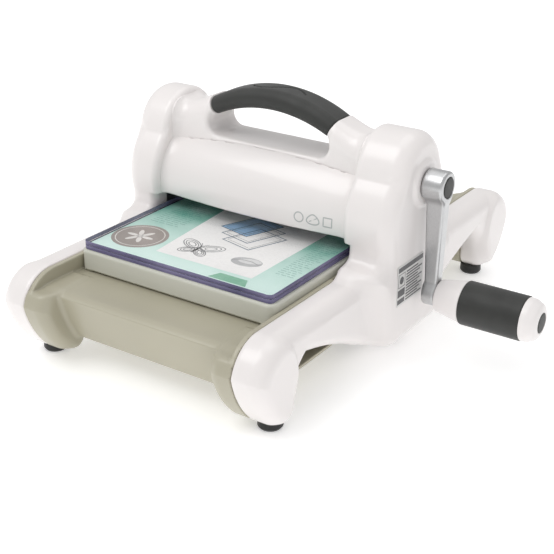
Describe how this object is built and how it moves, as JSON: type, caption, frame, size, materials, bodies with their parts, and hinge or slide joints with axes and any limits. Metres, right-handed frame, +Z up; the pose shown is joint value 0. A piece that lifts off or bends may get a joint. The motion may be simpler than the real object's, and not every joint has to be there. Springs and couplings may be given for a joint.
{
  "type": "die cutting machine",
  "caption": "Manual roller press for die cutting card: geared rollers in a two-tower housing with infeed and outfeed trays, a carry handle and a side crank that feeds the cutting stack.",
  "frame": {"origin": "on the floor, midway between the feet and midway across the rollers' width", "axes": "+Z up, +X along the rollers towards the crank, +Y from the infeed tray to the outfeed tray"},
  "size_m": [0.3222, 0.362, 0.1723],
  "materials": {
    "white_shell": "glossy moulded",
    "grey_tray": "semi-gloss moulded",
    "grip_rubber": "matt rubber",
    "white_grip": "glossy moulded",
    "foot_rubber": "black rubber",
    "frame_steel": "zinc plated",
    "bright_steel": "turned",
    "bearing_bronze": "sintered",
    "gear_steel": "machined",
    "roller_steel": "ground",
    "satin_aluminium": "satin",
    "label_film": "printed film",
    "platform_plastic": "semi-gloss moulded",
    "clear_pad": "clear polycarbonate, violet at the edges",
    "card_paper": "printed card"
  },
  "bodies": {
    "housing": {"left_side_cover": "white_shell", "right_side_cover": "white_shell", "front_cover": "white_shell", "rear_cover": "white_shell", "top_cover": "white_shell", "carry_grip": "grip_rubber", "front_tray": "grey_tray", "rear_tray": "grey_tray", "left_side_frame": "frame_steel", "right_side_frame": "frame_steel", "tie_rods": "bright_steel", "tie_rod_nuts": "bright_steel", "frame_screws": "bright_steel", "roller_bushes": "bearing_bronze", "crank_inner_bush": "bearing_bronze", "crank_outer_bush": "bearing_bronze", "feet": "foot_rubber", "foot_screws": "bright_steel", "side_label": "label_film"},
    "crank": {"crank_shaft": "bright_steel", "crank_pinion": "gear_steel", "pinion_pin": "bright_steel", "crank_arm": "satin_aluminium", "hub_screw": "bright_steel", "hub_cap": "grip_rubber", "grip_spindle": "bright_steel"},
    "hand_grip": {"grip_core": "white_grip", "grip_sleeve": "grip_rubber", "grip_end_cap": "white_grip", "grip_plug": "grip_rubber"},
    "upper_roller_set": {"upper_roller": "roller_steel", "drive_gear": "gear_steel", "upper_timing_gear": "gear_steel", "upper_keys": "bright_steel", "upper_retaining_rings": "bright_steel"},
    "lower_roller_set": {"lower_roller": "roller_steel", "lower_timing_gear": "gear_steel", "lower_key": "bright_steel", "lower_retaining_rings": "bright_steel"},
    "feed_stack": {"platform": "platform_plastic", "lower_cutting_pad": "clear_pad", "printed_card": "card_paper", "upper_cutting_pad": "clear_pad"}
  },
  "joints": [
    {"name": "crank_turn", "type": "hinge", "parent": "housing", "child": "crank", "pos_m": [0.1, 0, 0.1253], "axis": [1, 0, 0], "continuous": true},
    {"name": "grip_spin", "type": "hinge", "parent": "crank", "child": "hand_grip", "pos_m": [0.17, 0, 0.046], "axis": [1, 0, 0], "continuous": true},
    {"name": "upper_roller_turn", "type": "hinge", "parent": "housing", "child": "upper_roller_set", "pos_m": [0, 0, 0.0953], "axis": [1, 0, 0], "continuous": true},
    {"name": "lower_roller_turn", "type": "hinge", "parent": "housing", "child": "lower_roller_set", "pos_m": [0, 0, 0.0413], "axis": [1, 0, 0], "continuous": true},
    {"name": "stack_feed", "type": "slide", "parent": "housing", "child": "feed_stack", "axis": [0, 1, 0], "range_m": [-0.1, 0.1]}
  ],
  "couplings": [
    {"joint": "upper_roller_turn", "follows": "crank_turn", "ratio": -0.42857},
    {"joint": "lower_roller_turn", "follows": "crank_turn", "ratio": 0.42857}
  ]
}
